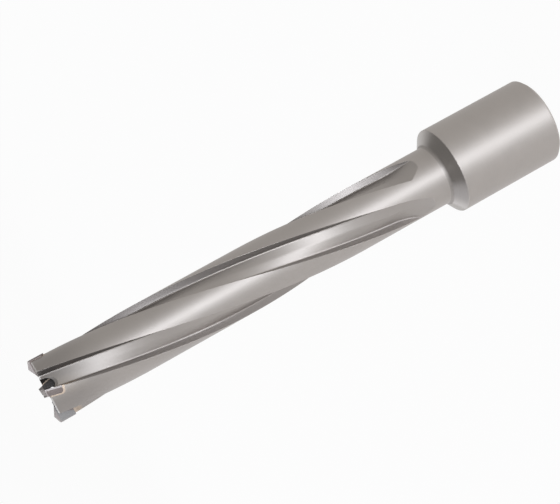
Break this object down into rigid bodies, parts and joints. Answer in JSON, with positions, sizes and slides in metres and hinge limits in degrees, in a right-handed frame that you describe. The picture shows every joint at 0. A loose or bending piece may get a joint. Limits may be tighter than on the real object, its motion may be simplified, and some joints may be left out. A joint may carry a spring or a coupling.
{
  "type": "annular cutter",
  "caption": "Hollow core drill with a plain clamping shank, helical flutes and brazed carbide teeth, for cutting round holes in plate and leaving a solid core.",
  "frame": {"origin": "centre of the shank's back face, on which the cutter stands", "axes": "+Z along the cutter's axis from the shank to the teeth, -Y through the first tooth, with the two flats of the shank on the other side"},
  "size_m": [0.019, 0.019, 0.1183],
  "materials": {
    "ground_steel": "satin ground steel with fine turning marks",
    "carbide": "fine ground carbide",
    "braze": "dull copper-gold braze"
  },
  "bodies": {
    "root": {"cutter_body": "ground_steel", "carbide_tip_1": "carbide", "carbide_tip_2": "carbide", "carbide_tip_3": "carbide", "carbide_tip_4": "carbide", "braze_seam_1": "braze", "braze_seam_2": "braze", "braze_seam_3": "braze", "braze_seam_4": "braze"}
  },
  "joints": []
}
